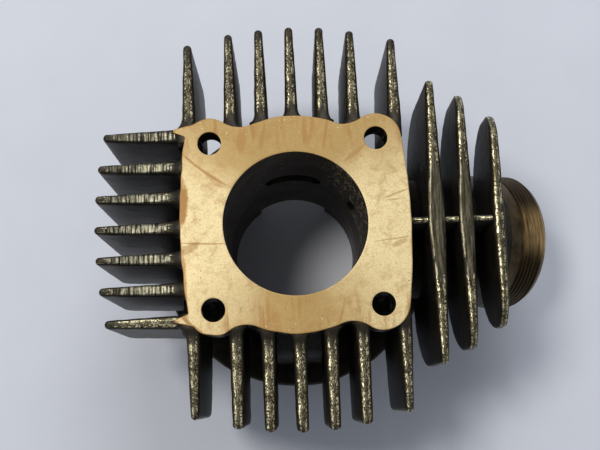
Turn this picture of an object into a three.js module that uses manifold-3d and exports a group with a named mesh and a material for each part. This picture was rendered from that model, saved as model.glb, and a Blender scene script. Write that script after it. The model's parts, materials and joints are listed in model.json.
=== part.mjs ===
// Air-cooled cylinder of a small two-stroke engine, in millimetres, +Z up along the bore.
// The origin is under the middle of the part's box, at the end of the spigot.
// One casting, divided into its named features: deck, wall, flange, spigot, ducts, fins and ribs.
import * as THREE from 'three';
import { mergeVertices } from 'three/addons/utils/BufferGeometryUtils.js';
import Module from 'manifold-3d';

const wasm = await Module();
wasm.setup();

// Driving dimensions: bore and barrel
const boreDiameter = 40;
const wallThickness = 7;
const wallHeight = 48.8;
const deckThickness = 9;
const flangeThickness = 8.2;
const flangeDiameter = 87.4;
const spigotLength = 12;
const spigotWall = 2.5;
const spigotCutWidth = 22;
const spigotCutHeight = 6;

// Studs and the outline of the deck
const studHoleDiameter = 6.5;
const studToWall = 2.55;
const lobeInsidePlate = 0.5;
const crownOverhang = 3.4;
const sideBeyondPlate = 1.1;
const valleyRadius = 8;

// Cooling fins
const finRootThickness = 3.8;
const finTipThickness = 2.2;
const frontFinTipThickness = 3.2;
const finBelowDeck = 1;
const finAboveFlange = 8.8;
const finCornerRadius = 4.5;
const finShoulderRadius = 1;
const sideFinPitch = 8.63;
const sideFinReach = 56.8;
const sideFinTipArc = 95;
const leftFinPitch = 8.55;
const leftFinReach = 55.6;
const leftFinTipArc = 128;
const leftOuterFromStud = 2.85;
const leftOuterLift = 4;

// Exhaust passage, its duct and the threaded stub
const exhaustTilt = THREE.MathUtils.degToRad(25.5);
const exhaustAxisDrop = 21.9;
const exhaustLength = 54;
const exhaustPassageDiameter = 28;
const exhaustDuctWall = 3.9;
const ductFlare = 3;
const stubLength = 13.5;
const stubThreadDiameter = 42.4;
const stubShankDiameter = 41.8;
const stubThreadLength = 7.5;
const stubChamfer = 1;
const stubMouthDiameter = 33;
const stubMouthDepth = 6;
const exhaustPort = { width: 24, height: 13, corner: 3.5, drop: 17.5 };

// Lens-shaped fins over the exhaust duct, from the barrel outward: thick is at the parting plane,
// straight is how far down their ends stay upright, foot is half their width at the lower edge,
// which lies above the flange
const exhaustFins = [
  { name: 'inner', at: 39.2, thick: 4.9, half: 39.9, shoulder: 2, straight: 26, foot: 23, above: 3.8 },
  { name: 'middle', at: 47.5, thick: 4.3, half: 36.2, shoulder: 6, straight: 11, foot: 18, above: 19.8 },
  { name: 'outer', at: 56.5, thick: 3.4, half: 30.4, shoulder: 9, straight: 9, foot: 13, above: 25.8 },
];
const ribThickness = 1.3;
const ribBelowDeck = 2;

// Transfer ports and the housings of their passages
const transferPort = { width: 17, height: 8.3, corner: 2, drop: 22 };
const transferWall = 3.5;
const transferDepth = 6;
const transferTopLean = 1.5;
const transferShoulder = 10;

// Room left between a piece and the neighbour that cuts it, and how far a cutter runs past a face
const clearance = 0.3;
const past = 2;

// How many straight steps each round shape is divided into, and points closer than this become one
const steps = {
  bore: 64,
  flange: 72,
  duct: 48,
  stub: 64,
  studHole: 24,
  portCorner: 3,
  deckSide: 4,
  deckLobe: 7,
  deckValley: 5,
  deckCrown: 4,
  finTip: 4,
  finCorner: 4,
  finShoulder: 2,
  endShoulder: 4,
  endBend: 8,
};
const samePlace = 1e-3;

// Levels and radii that follow from the sizes above
const boreRadius = boreDiameter / 2;
const wallRadius = boreRadius + wallThickness;
const flangeUnder = spigotLength;
const flangeTop = flangeUnder + flangeThickness;
const deckUnder = flangeTop + wallHeight;
const deckTop = deckUnder + deckThickness;
const studHoleRadius = studHoleDiameter / 2;
const studOffset = (wallRadius + studToWall + studHoleRadius) / Math.SQRT2;
const finHigh = deckTop - finBelowDeck;
const finLow = flangeTop + finAboveFlange;
const rootHalf = finRootThickness / 2;
const tipHalf = finTipThickness / 2;
const plateAt = wallRadius + rootHalf;
const plateFace = wallRadius + finRootThickness;
const passageRadius = exhaustPassageDiameter / 2;
const ductRadius = passageRadius + exhaustDuctWall;
const ductEndRadius = ductRadius + ductFlare;
const exhaustAxisHeight = deckUnder - exhaustAxisDrop;
const stubStart = exhaustLength - stubLength;
const stubRadius = stubThreadDiameter / 2;
const stubReach = boreRadius + exhaustLength * Math.cos(exhaustTilt)
  + (stubRadius - stubChamfer) * Math.sin(exhaustTilt);
const threadTopReach = boreRadius + (exhaustLength - stubChamfer) * Math.cos(exhaustTilt)
  + stubRadius * Math.sin(exhaustTilt);
const exhaustReach = Math.max(stubReach, threadTopReach);
const boreX = (leftFinReach - exhaustReach) / 2;

// Looks: [colour, roughness, metalness]
const machinedFace = [0xb8935c, 0.45, 0.6];
const rawCasting = [0x2c271c, 0.6, 0.5];
const boreSurface = [0x1e1812, 0.4, 0.6];
const machinedStub = [0x5b4730, 0.45, 0.7];

// Points along an arc, ends included
function arc(cx, cy, radius, from, to, count) {
  return Array.from({ length: count + 1 }, (_, i) => {
    const angle = from + (to - from) * i / count;
    return new THREE.Vector2(cx + radius * Math.cos(angle), cy + radius * Math.sin(angle));
  });
}

function points(...pairs) {
  return pairs.map(([x, y]) => new THREE.Vector2(x, y));
}

// A closed outline without doubled points
function outline(list) {
  const kept = list.filter((point, i) => point.distanceTo(list[(i + 1) % list.length]) > samePlace);
  return new THREE.Shape(kept);
}

// Geometry to solid, and back to a named mesh
function solid(geometry) {
  const bare = geometry.clone();
  bare.deleteAttribute('normal');
  bare.deleteAttribute('uv');
  const merged = mergeVertices(bare);
  const vertProperties = new Float32Array(merged.attributes.position.array);
  const triVerts = new Uint32Array(merged.index.array);
  return new wasm.Manifold(new wasm.Mesh({ numProp: 3, vertProperties, triVerts }));
}

function piece(name, body, [color, roughness, metalness]) {
  const { vertProperties, triVerts } = body.getMesh();
  const geometry = new THREE.BufferGeometry();
  geometry.setAttribute('position', new THREE.BufferAttribute(vertProperties, 3));
  geometry.setIndex(new THREE.BufferAttribute(triVerts, 1));
  geometry.computeVertexNormals();
  const mesh = new THREE.Mesh(geometry, new THREE.MeshStandardMaterial({ color, roughness, metalness }));
  mesh.name = name;
  return mesh;
}

function cut(body, ...cutters) {
  return cutters.reduce((rest, cutter) => rest.subtract(cutter), body);
}

// An outline in plan, raised from one level to another
function raised(shape, low, high) {
  const geometry = new THREE.ExtrudeGeometry(shape, { depth: high - low, bevelEnabled: false });
  return geometry.translate(0, 0, low);
}

// An outline drawn with its second coordinate as height, spread evenly either side of its plane.
// acrossY keeps the first coordinate along X, acrossX turns it along Y.
function acrossY(shape, width) {
  const geometry = new THREE.ExtrudeGeometry(shape, { depth: width, bevelEnabled: false });
  return geometry.rotateX(Math.PI / 2).translate(0, width / 2, 0);
}

function acrossX(shape, width) {
  return acrossY(shape, width).rotateZ(Math.PI / 2);
}

// A ring or disc round the bore axis
function ring(inner, outer, low, high, count = steps.bore) {
  const profile = inner > 0
    ? points([inner, low], [outer, low], [outer, high], [inner, high], [inner, low])
    : points([0, low], [outer, low], [outer, high], [0, high]);
  return new THREE.LatheGeometry(profile, count).rotateX(Math.PI / 2);
}

// The cast duct's flaring outside, drawn up +Z from the bore wall, larger all round by grow
function ductCone(grow) {
  const profile = points([0, 0], [ductRadius + grow, 0], [ductEndRadius + grow, stubStart - clearance],
    [0, stubStart - clearance]);
  return new THREE.LatheGeometry(profile, steps.duct).rotateX(Math.PI / 2);
}

function box(x, y, z, width, depth, height) {
  return new THREE.BoxGeometry(width, depth, height).translate(x, y, z);
}

// A rounded rectangle centred on (x, y)
function roundedBox(x, y, width, height, corner) {
  const right = x + width / 2 - corner;
  const left = x - width / 2 + corner;
  const top = y + height / 2 - corner;
  const bottom = y - height / 2 + corner;
  const quarter = Math.PI / 2;
  return outline([
    ...arc(right, top, corner, 0, quarter, steps.portCorner),
    ...arc(left, top, corner, quarter, 2 * quarter, steps.portCorner),
    ...arc(left, bottom, corner, 2 * quarter, 3 * quarter, steps.portCorner),
    ...arc(right, bottom, corner, 3 * quarter, 4 * quarter, steps.portCorner),
  ]);
}

// The deck in plan: two crowns round the bore, four stud lobes, hollows between them and bowed sides
function deckOutline(grow) {
  const lobe = plateFace - lobeInsidePlate - studOffset + grow;
  const crown = wallRadius + crownOverhang + grow;
  const side = plateFace + sideBeyondPlate + grow;
  const valley = valleyRadius - grow;
  const apart = studOffset * Math.SQRT2;
  const along = ((crown + valley) ** 2 - (lobe + valley) ** 2 + apart ** 2) / (2 * apart);
  const off = Math.sqrt((crown + valley) ** 2 - along ** 2);
  const valleyX = (along - off) / Math.SQRT2;
  const valleyY = (along + off) / Math.SQRT2;
  const bow = side - studOffset;
  const sideRadius = (bow ** 2 + studOffset ** 2 - lobe ** 2) / (2 * (bow - lobe));
  const sideAngle = Math.atan2(studOffset, sideRadius - bow);
  const lobeEnd = Math.atan2(valleyY - studOffset, valleyX - studOffset);
  const crownStart = Math.atan2(valleyY, valleyX);
  const quarter = [
    ...arc(side - sideRadius, 0, sideRadius, 0, sideAngle, steps.deckSide),
    ...arc(studOffset, studOffset, lobe, sideAngle, lobeEnd, steps.deckLobe),
    ...arc(valleyX, valleyY, valley, lobeEnd + Math.PI, crownStart + Math.PI, steps.deckValley),
    ...arc(0, 0, crown, crownStart, Math.PI / 2, steps.deckCrown),
  ];
  const mirrored = (signX, signY) => quarter.map((p) => new THREE.Vector2(signX * p.x, signY * p.y));
  return outline([
    ...mirrored(1, 1),
    ...mirrored(-1, 1).reverse(),
    ...mirrored(-1, -1),
    ...mirrored(1, -1).reverse(),
  ]);
}

// Turns a body of revolution drawn up +Z onto the exhaust axis, which leaves the bore wall downward
function alongExhaust(geometry) {
  return geometry.rotateY(Math.PI / 2 + exhaustTilt).translate(boreRadius, 0, exhaustAxisHeight);
}

// The four stud holes as one cutter
const studHoles = [[1, 1], [-1, 1], [-1, -1], [1, -1]]
  .map(([x, y]) => ring(0, studHoleRadius, 0, deckTop + past, steps.studHole)
    .translate(x * studOffset, y * studOffset, 0))
  .map(solid)
  .reduce((all, hole) => all.add(hole));
const bore = solid(ring(0, boreRadius, -past, deckTop + past));

// Ports through the wall
const exhaustWindow = solid(acrossX(roundedBox(0, deckUnder - exhaustPort.drop - exhaustPort.height / 2,
  exhaustPort.width, exhaustPort.height, exhaustPort.corner), wallThickness * 2)
  .translate(boreRadius + wallThickness / 2 + past, 0, 0));
const transferHeight = deckUnder - transferPort.drop - transferPort.height / 2;
const transferWindow = solid(acrossY(roundedBox(0, transferHeight, transferPort.width, transferPort.height,
  transferPort.corner), 2 * (wallRadius + past)));

// Cutters a little larger than the pieces they stand for
const deckCutter = solid(raised(deckOutline(clearance), deckUnder, deckTop + past));
const wallCutter = solid(ring(0, wallRadius + clearance, 0, deckUnder));
const ductCutter = solid(alongExhaust(ductCone(clearance)));
const stubCutter = solid(alongExhaust(ring(0, stubRadius + clearance, stubStart - clearance,
  exhaustLength + past)));

// The sloping passage: round from the stub inward, and the port's own window where it meets the wall
function exhaustPassage() {
  const round = alongExhaust(ring(0, passageRadius, wallThickness, exhaustLength + past, steps.duct));
  const throat = acrossX(roundedBox(0, deckUnder - exhaustPort.drop - exhaustPort.height / 2,
    exhaustPort.width, exhaustPort.height, exhaustPort.corner), wallThickness * 2);
  return solid(round).add(solid(throat.translate(wallRadius + wallThickness / 2, 0, 0)));
}

// Housing of a transfer passage, seen from the side: upright on the flange, with a sloping shoulder
const transferOut = wallRadius + transferDepth + transferWall;
const transferWidth = transferPort.width + 2 * transferWall;
const transferTop = transferHeight + transferPort.height / 2;

function transferHousing(grow) {
  const out = transferOut + grow;
  const top = transferTop + grow;
  const side = outline(points([0, flangeTop], [out, flangeTop], [out - transferTopLean, top - transferWall],
    [wallRadius - transferWall, top + transferShoulder], [0, top + transferShoulder]));
  return acrossX(side, transferWidth + 2 * grow);
}

function transferChannel() {
  const middle = wallRadius + transferDepth / 2;
  return box(0, middle, transferTop / 2, transferPort.width, transferDepth, transferTop);
}

function facing(geometry, sign) {
  return sign > 0 ? geometry : geometry.rotateZ(Math.PI);
}

const transferCutter = solid(transferHousing(clearance)).add(solid(facing(transferHousing(clearance), -1)));
const channels = solid(transferChannel()).add(solid(facing(transferChannel(), -1)));

function headDeck() {
  return cut(solid(raised(deckOutline(0), deckUnder, deckTop)), bore, studHoles);
}

function barrelWall() {
  const wall = solid(ring(boreRadius, wallRadius, flangeTop, deckUnder));
  return cut(wall, exhaustWindow, transferWindow);
}

function baseFlange() {
  const disc = solid(ring(boreRadius, flangeDiameter / 2, flangeUnder, flangeTop, steps.flange));
  return cut(disc, studHoles, channels, ductCutter, stubCutter);
}

function spigot() {
  const skirt = solid(ring(boreRadius, boreRadius + spigotWall, 0, spigotLength));
  const notch = box(0, 0, (spigotCutHeight - past) / 2, spigotCutWidth, 2 * flangeDiameter,
    spigotCutHeight + past);
  return cut(skirt, solid(notch));
}

function transferDuct(sign) {
  return cut(solid(facing(transferHousing(0), sign)), wallCutter, channels, transferWindow);
}

function exhaustDuct() {
  return cut(solid(alongExhaust(ductCone(0))), wallCutter, exhaustPassage());
}

function exhaustStub() {
  const threadStart = exhaustLength - stubThreadLength;
  const mouthFloor = exhaustLength - stubMouthDepth;
  const profile = points([passageRadius, stubStart], [stubShankDiameter / 2, stubStart],
    [stubShankDiameter / 2, threadStart], [stubRadius, threadStart],
    [stubRadius, exhaustLength - stubChamfer],
    [stubRadius - stubChamfer, exhaustLength], [stubMouthDiameter / 2, exhaustLength],
    [stubMouthDiameter / 2, mouthFloor], [passageRadius, mouthFloor], [passageRadius, stubStart]);
  return solid(alongExhaust(new THREE.LatheGeometry(profile, steps.stub).rotateX(Math.PI / 2)));
}

// One cooling fin drawn pointing along +X with its plate in the XZ plane, then put in its place: parallel
// inside the deck, tapering to a rounded tip, with its lower outer corner rounded off
function finPlate(from, parallelTo, tip, low, place, endHalf = tipHalf) {
  const plan = outline([
    ...points([from, rootHalf], [from, -rootHalf], [parallelTo, -rootHalf]),
    ...arc(tip - endHalf, 0, endHalf, -Math.PI / 2, Math.PI / 2, steps.finTip),
    ...points([parallelTo, rootHalf]),
  ]);
  const side = outline([
    ...points([from - past, low]),
    ...arc(tip - finCornerRadius, low + finCornerRadius, finCornerRadius, -Math.PI / 2, 0,
      steps.finCorner),
    ...arc(tip - finShoulderRadius, finHigh - finShoulderRadius, finShoulderRadius, 0, Math.PI / 2,
      steps.finShoulder),
    ...points([from - past, finHigh]),
  ]);
  const prism = solid(place(raised(plan, low, finHigh)));
  return prism.intersect(solid(place(acrossY(side, 2 * finRootThickness))));
}

function tipOnArc(reach, offset, radius) {
  return reach - offset ** 2 / (2 * radius);
}

// Turns a fin's outline about the bore axis, then moves it beside its neighbours
function placing(angle, x, y) {
  return (geometry) => geometry.rotateZ(angle).translate(x, y, 0);
}

const sideFinPlaces = [-plateAt, -2 * sideFinPitch, -sideFinPitch, 0, sideFinPitch, 2 * sideFinPitch,
  plateAt];
const leftOuterFin = studOffset + leftOuterFromStud;
const leftFinPlaces = [leftOuterFin, 2 * leftFinPitch, leftFinPitch, 0, -leftFinPitch, -2 * leftFinPitch,
  -leftOuterFin];
const sideCutters = [deckCutter, wallCutter, transferCutter, ductCutter, stubCutter];

function sideFin(at, sign) {
  const outer = Math.abs(at) === plateAt;
  const from = outer ? 0 : boreRadius;
  const tip = tipOnArc(sideFinReach, at, sideFinTipArc);
  const place = placing(sign * Math.PI / 2, at, 0);
  const endHalf = sign > 0 ? tipHalf : frontFinTipThickness / 2;
  return cut(finPlate(from, wallRadius + crownOverhang, tip, finLow, place, endHalf), ...sideCutters);
}

function leftFin(at) {
  const outer = Math.abs(at) === leftOuterFin;
  const low = outer ? finLow + leftOuterLift : finLow;
  const tip = tipOnArc(leftFinReach, at, leftFinTipArc);
  return cut(finPlate(plateFace, plateFace, tip, low, placing(Math.PI, 0, at)), deckCutter);
}

// A lens-shaped fin standing across the exhaust duct, thick at the parting plane and thin at both ends
function exhaustFin({ at, thick, half, shoulder, straight, foot, above }) {
  const middle = thick / 2;
  const low = flangeTop + above;
  const bendHigh = finHigh - straight;
  const plan = outline([
    ...points([middle, 0]),
    ...arc(0, half - tipHalf, tipHalf, 0, Math.PI, steps.finTip),
    ...points([-middle, 0]),
    ...arc(0, tipHalf - half, tipHalf, Math.PI, 2 * Math.PI, steps.finTip),
  ]);
  const bend = Array.from({ length: steps.endBend + 1 }, (_, i) => {
    const angle = Math.PI / 2 * i / steps.endBend;
    return [foot + (half - foot) * Math.cos(angle), bendHigh - (bendHigh - low) * Math.sin(angle)];
  });
  const round = arc(half - shoulder, finHigh - shoulder, shoulder, Math.PI / 2, 0, steps.endShoulder);
  const right = [...round, ...points(...bend)];
  const left = right.map((p) => new THREE.Vector2(-p.x, p.y)).reverse();
  const side = acrossX(outline([...left, ...right].reverse()), 2 * thick)
    .translate(at, 0, 0);
  const lens = raised(plan, low - past, finHigh).translate(at, 0, 0);
  return cut(solid(lens).intersect(solid(side)), ductCutter, stubCutter);
}

// The thin web on the parting plane, from the face of one piece to the face of the next
function rib(from, to) {
  const high = deckTop - ribBelowDeck;
  const low = exhaustAxisHeight - (to - boreRadius) * Math.tan(exhaustTilt);
  const body = box((from + to) / 2, 0, (high + low) / 2, to - from, ribThickness, high - low);
  return cut(solid(body), deckCutter, ductCutter, stubCutter);
}

function ribs() {
  const faces = [plateFace, ...exhaustFins.flatMap(({ at, thick }) => [at - thick / 2, at + thick / 2])];
  return exhaustFins.map(({ name }, i) =>
    piece(`rib_${name}`, rib(faces[2 * i] + clearance, faces[2 * i + 1] - clearance), rawCasting));
}

const cylinder = new THREE.Group();
cylinder.add(
  piece('head_deck', headDeck(), machinedFace),
  piece('barrel_wall', barrelWall(), boreSurface),
  piece('base_flange', baseFlange(), rawCasting),
  piece('spigot', spigot(), boreSurface),
  piece('transfer_duct_back', transferDuct(1), rawCasting),
  piece('transfer_duct_front', transferDuct(-1), rawCasting),
  piece('exhaust_duct', exhaustDuct(), rawCasting),
  piece('exhaust_stub', exhaustStub(), machinedStub),
  ...sideFinPlaces.map((at, i) => piece(`fin_back_${i + 1}`, sideFin(at, 1), rawCasting)),
  ...sideFinPlaces.map((at, i) => piece(`fin_front_${i + 1}`, sideFin(at, -1), rawCasting)),
  ...leftFinPlaces.map((at, i) => piece(`fin_left_${i + 1}`, leftFin(at), rawCasting)),
  ...exhaustFins.map((fin) => piece(`fin_exhaust_${fin.name}`, exhaustFin(fin), rawCasting)),
  ...ribs(),
);
cylinder.position.x = boreX;

const part = new THREE.Group();
part.add(cylinder);

export default part;
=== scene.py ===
import json
from math import atan2, cos, hypot, pi, radians, sin, sqrt
import bpy
import bmesh
from mathutils import Matrix, Vector, noise


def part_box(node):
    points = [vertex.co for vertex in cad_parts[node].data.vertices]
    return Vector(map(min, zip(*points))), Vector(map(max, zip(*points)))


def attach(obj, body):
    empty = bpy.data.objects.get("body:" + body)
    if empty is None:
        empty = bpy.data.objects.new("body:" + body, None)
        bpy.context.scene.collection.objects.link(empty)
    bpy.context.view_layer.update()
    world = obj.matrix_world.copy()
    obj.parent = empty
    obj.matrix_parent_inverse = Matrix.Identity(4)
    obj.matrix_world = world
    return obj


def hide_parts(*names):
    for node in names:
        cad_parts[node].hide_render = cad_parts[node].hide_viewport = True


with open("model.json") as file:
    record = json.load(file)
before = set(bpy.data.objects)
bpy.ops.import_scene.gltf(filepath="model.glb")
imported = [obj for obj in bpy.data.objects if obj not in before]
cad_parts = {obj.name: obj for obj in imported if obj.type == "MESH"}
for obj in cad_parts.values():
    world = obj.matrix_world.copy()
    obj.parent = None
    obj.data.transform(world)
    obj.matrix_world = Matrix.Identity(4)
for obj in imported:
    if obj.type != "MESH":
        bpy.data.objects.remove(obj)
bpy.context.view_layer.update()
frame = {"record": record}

mm = 0.001
mounts = {mount["name"]: mount for mount in frame["record"]["mounts"]}

# measures that come from the frame
wallLow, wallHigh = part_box("barrel_wall")
deckLow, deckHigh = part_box("head_deck")
flangeLow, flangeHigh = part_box("base_flange")
spigotLow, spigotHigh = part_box("spigot")
boreX = (wallLow[0] + wallHigh[0]) / 2
wallRadius = (wallHigh[0] - wallLow[0]) / 2
flangeRadius = (flangeHigh[1] - flangeLow[1]) / 2
deckTop = deckHigh[2]
deckUnder = deckLow[2]
exhaustDir = Vector(mounts["exhaust_face"]["axis"]).normalized()
exhaustEnd = Vector((mounts["exhaust_face"]["pos_m"][0], 0, mounts["exhaust_face"]["pos_m"][2]))

# machined sizes that more than one piece uses
bore = {"radius": 20 * mm, "steps": 128, "lipDrop": 0.5 * mm}
studs = {"radius": 3.25 * mm, "offset": 23.193 * mm, "steps": 40}
thread = {"outer": 21.2 * mm, "shank": 20.9 * mm, "length": 9.1 * mm, "pitch": 1.3 * mm, "depth": 0.62 * mm,
          "flat": 0.2 * mm, "rise": 0.4 * mm, "chamfer": 1 * mm, "mouth": 16.5 * mm, "mouthDepth": 6 * mm,
          "edge": 0.3 * mm}


# shared helpers
def smooth(low, high, value):
    t = min(1, max(0, (value - low) / (high - low)))
    return t * t * (3 - 2 * t)


def lerp(a, b, t):
    return a + (b - a) * t


def wobble(place, size, depth, seed=0):  # smooth, repeatable unevenness of a casting
    return noise.noise(Vector(place) / size + Vector((seed * 7.3, seed * 3.1, seed * 5.7))) * depth


def arc(cx, cy, radius, start, end, steps):
    return [(cx + radius * cos(lerp(start, end, i / steps)), cy + radius * sin(lerp(start, end, i / steps)))
            for i in range(steps + 1)]


def finish(name, bm, materials, node, sharp):
    bmesh.ops.recalc_face_normals(bm, faces=bm.faces[:])
    for face in bm.faces:
        face.smooth = True
    for edge in bm.edges:
        if len(edge.link_faces) == 2 and edge.calc_face_angle(0) > radians(sharp):
            edge.smooth = False
    mesh = bpy.data.meshes.new(name)
    bm.to_mesh(mesh)
    bm.free()
    for material in materials:
        mesh.materials.append(material)
    piece = bpy.data.objects.new(name, mesh)
    bpy.context.scene.collection.objects.link(piece)
    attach(piece, "root")
    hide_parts(node)


def closedLoop(bm, points, z):
    verts = [bm.verts.new((x, y, z)) for x, y in points]
    return [bm.edges.new((a, b)) for a, b in zip(verts, verts[1:] + verts[:1])]


def spun(profile, steps):  # closed profile of (radius, height) turned about Z
    bm = bmesh.new()
    verts = [bm.verts.new((r, 0, z)) for r, z in profile]
    edges = [bm.edges.new((a, b)) for a, b in zip(verts, verts[1:] + verts[:1])]
    bmesh.ops.spin(bm, geom=verts + edges, cent=(0, 0, 0), axis=(0, 0, 1), angle=2 * pi, steps=steps,
                   use_merge=True)
    bmesh.ops.remove_doubles(bm, verts=bm.verts[:], dist=1e-6)
    bmesh.ops.recalc_face_normals(bm, faces=bm.faces[:])
    return bm


def toBoreAxis(bm):
    bmesh.ops.translate(bm, vec=(boreX, 0, 0), verts=bm.verts[:])
    return bm


def bevelEdges(bm, edges, offset, segments=2):
    bmesh.ops.bevel(bm, geom=edges, offset=offset, segments=segments, affect="EDGES", profile=0.5,
                    material=-1, clamp_overlap=True)


def flatPlate(loops, high, low):  # a plate with holes: the first loop is its outline
    bm = bmesh.new()
    edges = [edge for loop in loops for edge in closedLoop(bm, loop, high)]
    bmesh.ops.triangle_fill(bm, use_beauty=True, use_dissolve=False, edges=edges)
    lid = bm.faces[:]
    if lid[0].normal.z < 0:
        bmesh.ops.reverse_faces(bm, faces=lid)
    under = bmesh.ops.extrude_face_region(bm, geom=lid, use_keep_orig=True)
    verts = [item for item in under["geom"] if isinstance(item, bmesh.types.BMVert)]
    bmesh.ops.translate(bm, vec=(0, 0, low - high), verts=verts)
    bmesh.ops.recalc_face_normals(bm, faces=bm.faces[:])
    return bm


def studHoles():
    offset, radius, steps = studs["offset"], studs["radius"], studs["steps"]
    return [arc(boreX + sx * offset, sy * offset, radius, 0, 2 * pi, steps)[:-1]
            for sx, sy in ((1, 1), (-1, 1), (-1, -1), (1, -1))]


def rimEdges(bm, level):  # sharp edges between the flat face at that height and the walls under it
    def onLevel(edge):
        return all(abs(vert.co.z - level) < 1e-6 for vert in edge.verts)

    return [edge for edge in bm.edges if onLevel(edge) and edge.calc_face_angle(0) > 1]


def sheetBody(columns, rows, spot):
    # two skins over a grid: spot(column, row, side) gives each place, its share of rubbed metal and painted
    # glint, and how skimmed it is
    bm = bmesh.new()
    bmesh.ops.create_grid(bm, x_segments=columns, y_segments=rows, size=0.5)
    across = max(v.co.x for v in bm.verts) * 2
    along = max(v.co.y for v in bm.verts) * 2
    twin = bmesh.ops.extrude_face_region(bm, geom=bm.faces[:], use_keep_orig=True)
    verts = [item for item in twin["geom"] if isinstance(item, bmesh.types.BMVert)]
    bmesh.ops.translate(bm, vec=(0, 0, 1), verts=verts)

    def atCorner(vert):
        return abs(abs(vert.co.x) * 2 - across) < 1e-6 and abs(abs(vert.co.y) * 2 - along) < 1e-6

    for quad in bm.faces[:]:  # a corner face folds flat unless it is split from its corner
        corner = [vert for vert in quad.verts if atCorner(vert)]
        if len(corner) == 1:
            far = max(quad.verts, key=lambda v: (v.co - corner[0].co).length)
            bmesh.utils.face_split(quad, corner[0], far)
    wearAndGlint = bm.verts.layers.float.new("wearAndGlint")
    land = bm.verts.layers.float.new("land")
    for vert in bm.verts:
        column = round((vert.co.x / across + 0.5) * columns)
        row = round((vert.co.y / along + 0.5) * rows)
        place, wornAndGlinting, skimmed = spot(column, row, 1 if vert.co.z > 0.5 else -1)
        vert.co = place
        vert[wearAndGlint] = wornAndGlinting
        vert[land] = skimmed
    bmesh.ops.remove_doubles(bm, verts=bm.verts[:], dist=2e-6)
    bmesh.ops.dissolve_degenerate(bm, dist=1e-7, edges=bm.edges[:])
    bmesh.ops.recalc_face_normals(bm, faces=bm.faces[:])
    return bm


# materials
def newMaterial(name):
    material = bpy.data.materials.new(name)
    material.use_nodes = True
    tree = material.node_tree
    shader = tree.nodes["Principled BSDF"]
    return material, tree, shader


def objectPlace(tree, scale=(1, 1, 1), location=(0, 0, 0)):
    coords = tree.nodes.new("ShaderNodeTexCoord")
    mapping = tree.nodes.new("ShaderNodeMapping")
    mapping.inputs["Location"].default_value = location
    mapping.inputs["Scale"].default_value = scale
    tree.links.new(coords.outputs["Object"], mapping.inputs["Vector"])
    return mapping.outputs["Vector"]


def noiseAt(tree, vector, scale, detail=4, roughness=0.55, distortion=0):
    node = tree.nodes.new("ShaderNodeTexNoise")
    node.inputs["Scale"].default_value = scale
    node.inputs["Detail"].default_value = detail
    node.inputs["Roughness"].default_value = roughness
    node.inputs["Distortion"].default_value = distortion
    tree.links.new(vector, node.inputs["Vector"])
    return node.outputs["Fac"]


def ramp(tree, value, *stops):  # stops are (position, colour or grey)
    node = tree.nodes.new("ShaderNodeValToRGB")
    elements = node.color_ramp.elements
    while len(elements) < len(stops):
        elements.new(0.5)
    for element, (position, colour) in zip(elements, stops):
        element.position = position
        rgb = colour if isinstance(colour, tuple) else (colour, colour, colour)
        element.color = (*rgb, 1)
    tree.links.new(value, node.inputs["Fac"])
    return node.outputs["Color"]


def mixColour(tree, factor, a, b):  # a and b are colours, greys or sockets
    node = tree.nodes.new("ShaderNodeMix")
    node.data_type = "RGBA"
    for socket, value in (("Factor", factor), ("A", a), ("B", b)):
        target = [s for s in node.inputs if s.name == socket and s.enabled][0]
        if isinstance(value, tuple):
            target.default_value = (*value, 1)
        elif isinstance(value, float):
            target.default_value = (value, value, value, 1)
        else:
            tree.links.new(value, target)
    return [s for s in node.outputs if s.enabled][0]


def calc(tree, operation, a, b=0.0, c=0.0):
    node = tree.nodes.new("ShaderNodeMath")
    node.operation = operation
    for socket, value in zip(node.inputs, (a, b, c)):
        if isinstance(value, (int, float)):
            socket.default_value = value
        else:
            tree.links.new(value, socket)
    return node.outputs[0]


def between(tree, value, low, high, start=0.0, end=1.0):  # start up to low, end past high, eased between
    node = tree.nodes.new("ShaderNodeMapRange")
    node.interpolation_type = "SMOOTHSTEP"
    for name, number in (("From Min", low), ("From Max", high), ("To Min", start), ("To Max", end)):
        node.inputs[name].default_value = number
    tree.links.new(value, node.inputs["Value"])
    return node.outputs["Result"]


def attribute(tree, name):
    node = tree.nodes.new("ShaderNodeAttribute")
    node.attribute_name = name
    return node.outputs["Fac"]


def bumped(tree, shader, height, distance, strength=1.0, normal=None):
    node = tree.nodes.new("ShaderNodeBump")
    node.inputs["Distance"].default_value = distance
    node.inputs["Strength"].default_value = strength
    tree.links.new(height, node.inputs["Height"])
    if normal is not None:
        tree.links.new(normal, node.inputs["Normal"])
    tree.links.new(node.outputs["Normal"], shader.inputs["Normal"])
    return node.outputs["Normal"]


def link(tree, value, shader, socket):
    tree.links.new(value, shader.inputs[socket])


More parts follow.
